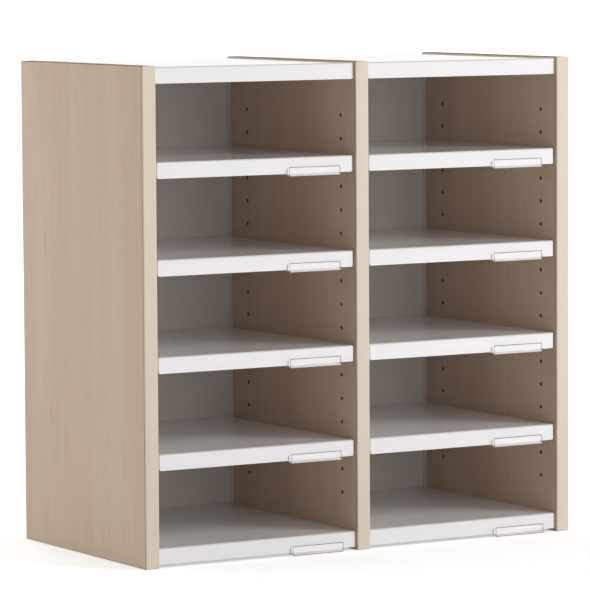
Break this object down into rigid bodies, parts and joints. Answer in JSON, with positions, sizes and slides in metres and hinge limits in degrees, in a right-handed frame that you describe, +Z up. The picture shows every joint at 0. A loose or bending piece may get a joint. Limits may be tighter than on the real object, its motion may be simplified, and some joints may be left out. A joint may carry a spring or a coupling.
{
  "type": "pigeonhole mail sorter",
  "caption": "Desktop mail sorter with wood-decor uprights, white steel backs and trays in side-by-side bays, adjustable shelves on pins, and clear label holders clipped to the shelf lips",
  "frame": {"origin": "on the floor, under the middle of the carcass", "axes": "+Z up, X across the two bays with +X to the right seen from the front, the open front faces -Y and the back panels +Y"},
  "size_m": [0.672, 0.3477, 0.66],
  "materials": {
    "decor": "pale oak decor board with fine vertical grain, satin",
    "edge_band": "paler plastic edge band with rounded edges",
    "white_steel": "smooth white powder coat, semi-gloss",
    "back_steel": "white powder coat, satin",
    "zinc": "zinc-plated steel",
    "clear_plastic": "clear extruded plastic, glossy"
  },
  "bodies": {
    "carcass": {"upright_left": "decor", "edge_band_left": "edge_band", "support_pin_left_front_1": "zinc", "support_pin_left_front_2": "zinc", "support_pin_left_front_3": "zinc", "support_pin_left_front_4": "zinc", "support_pin_left_rear_1": "zinc", "support_pin_left_rear_2": "zinc", "support_pin_left_rear_3": "zinc", "support_pin_left_rear_4": "zinc", "connecting_screw_left_top": "zinc", "connecting_screw_left_bottom": "zinc", "upright_center": "decor", "edge_band_center": "edge_band", "support_pin_center_front_1": "zinc", "support_pin_center_front_2": "zinc", "support_pin_center_front_3": "zinc", "support_pin_center_front_4": "zinc", "support_pin_center_rear_1": "zinc", "support_pin_center_rear_2": "zinc", "support_pin_center_rear_3": "zinc", "support_pin_center_rear_4": "zinc", "connecting_screw_center_top": "zinc", "connecting_screw_center_bottom": "zinc", "upright_right": "decor", "edge_band_right": "edge_band", "support_pin_right_front_1": "zinc", "support_pin_right_front_2": "zinc", "support_pin_right_front_3": "zinc", "support_pin_right_front_4": "zinc", "support_pin_right_rear_1": "zinc", "support_pin_right_rear_2": "zinc", "support_pin_right_rear_3": "zinc", "support_pin_right_rear_4": "zinc", "connecting_screw_right_top": "zinc", "connecting_screw_right_bottom": "zinc", "back_panel_left": "back_steel", "top_tray_left": "white_steel", "bottom_tray_left": "white_steel", "back_panel_right": "back_steel", "top_tray_right": "white_steel", "bottom_tray_right": "white_steel"},
    "shelf_left_1_body": {"shelf_left_1": "white_steel"},
    "shelf_left_2_body": {"shelf_left_2": "white_steel"},
    "shelf_left_3_body": {"shelf_left_3": "white_steel"},
    "shelf_left_4_body": {"shelf_left_4": "white_steel"},
    "label_holder_left_bottom_body": {"label_holder_left_bottom": "clear_plastic"},
    "label_holder_left_1_body": {"label_holder_left_1": "clear_plastic"},
    "label_holder_left_2_body": {"label_holder_left_2": "clear_plastic"},
    "label_holder_left_3_body": {"label_holder_left_3": "clear_plastic"},
    "label_holder_left_4_body": {"label_holder_left_4": "clear_plastic"},
    "shelf_right_1_body": {"shelf_right_1": "white_steel"},
    "shelf_right_2_body": {"shelf_right_2": "white_steel"},
    "shelf_right_3_body": {"shelf_right_3": "white_steel"},
    "shelf_right_4_body": {"shelf_right_4": "white_steel"},
    "label_holder_right_bottom_body": {"label_holder_right_bottom": "clear_plastic"},
    "label_holder_right_1_body": {"label_holder_right_1": "clear_plastic"},
    "label_holder_right_2_body": {"label_holder_right_2": "clear_plastic"},
    "label_holder_right_3_body": {"label_holder_right_3": "clear_plastic"},
    "label_holder_right_4_body": {"label_holder_right_4": "clear_plastic"}
  },
  "joints": [
    {"name": "shelf_slide_left_1", "type": "slide", "parent": "carcass", "child": "shelf_left_1_body", "axis": [0, -1, 0], "range_m": [0, 0.345]},
    {"name": "shelf_slide_left_2", "type": "slide", "parent": "carcass", "child": "shelf_left_2_body", "axis": [0, -1, 0], "range_m": [0, 0.345]},
    {"name": "shelf_slide_left_3", "type": "slide", "parent": "carcass", "child": "shelf_left_3_body", "axis": [0, -1, 0], "range_m": [0, 0.345]},
    {"name": "shelf_slide_left_4", "type": "slide", "parent": "carcass", "child": "shelf_left_4_body", "axis": [0, -1, 0], "range_m": [0, 0.345]},
    {"name": "label_slide_left_bottom", "type": "slide", "parent": "carcass", "child": "label_holder_left_bottom_body", "axis": [1, 0, 0], "range_m": [-0.194, 0.02]},
    {"name": "label_slide_left_1", "type": "slide", "parent": "shelf_left_1_body", "child": "label_holder_left_1_body", "axis": [1, 0, 0], "range_m": [-0.194, 0.02]},
    {"name": "label_slide_left_2", "type": "slide", "parent": "shelf_left_2_body", "child": "label_holder_left_2_body", "axis": [1, 0, 0], "range_m": [-0.194, 0.02]},
    {"name": "label_slide_left_3", "type": "slide", "parent": "shelf_left_3_body", "child": "label_holder_left_3_body", "axis": [1, 0, 0], "range_m": [-0.194, 0.02]},
    {"name": "label_slide_left_4", "type": "slide", "parent": "shelf_left_4_body", "child": "label_holder_left_4_body", "axis": [1, 0, 0], "range_m": [-0.194, 0.02]},
    {"name": "shelf_slide_right_1", "type": "slide", "parent": "carcass", "child": "shelf_right_1_body", "axis": [0, -1, 0], "range_m": [0, 0.345]},
    {"name": "shelf_slide_right_2", "type": "slide", "parent": "carcass", "child": "shelf_right_2_body", "axis": [0, -1, 0], "range_m": [0, 0.345]},
    {"name": "shelf_slide_right_3", "type": "slide", "parent": "carcass", "child": "shelf_right_3_body", "axis": [0, -1, 0], "range_m": [0, 0.345]},
    {"name": "shelf_slide_right_4", "type": "slide", "parent": "carcass", "child": "shelf_right_4_body", "axis": [0, -1, 0], "range_m": [0, 0.345]},
    {"name": "label_slide_right_bottom", "type": "slide", "parent": "carcass", "child": "label_holder_right_bottom_body", "axis": [1, 0, 0], "range_m": [-0.194, 0.02]},
    {"name": "label_slide_right_1", "type": "slide", "parent": "shelf_right_1_body", "child": "label_holder_right_1_body", "axis": [1, 0, 0], "range_m": [-0.194, 0.02]},
    {"name": "label_slide_right_2", "type": "slide", "parent": "shelf_right_2_body", "child": "label_holder_right_2_body", "axis": [1, 0, 0], "range_m": [-0.194, 0.02]},
    {"name": "label_slide_right_3", "type": "slide", "parent": "shelf_right_3_body", "child": "label_holder_right_3_body", "axis": [1, 0, 0], "range_m": [-0.194, 0.02]},
    {"name": "label_slide_right_4", "type": "slide", "parent": "shelf_right_4_body", "child": "label_holder_right_4_body", "axis": [1, 0, 0], "range_m": [-0.194, 0.02]}
  ]
}
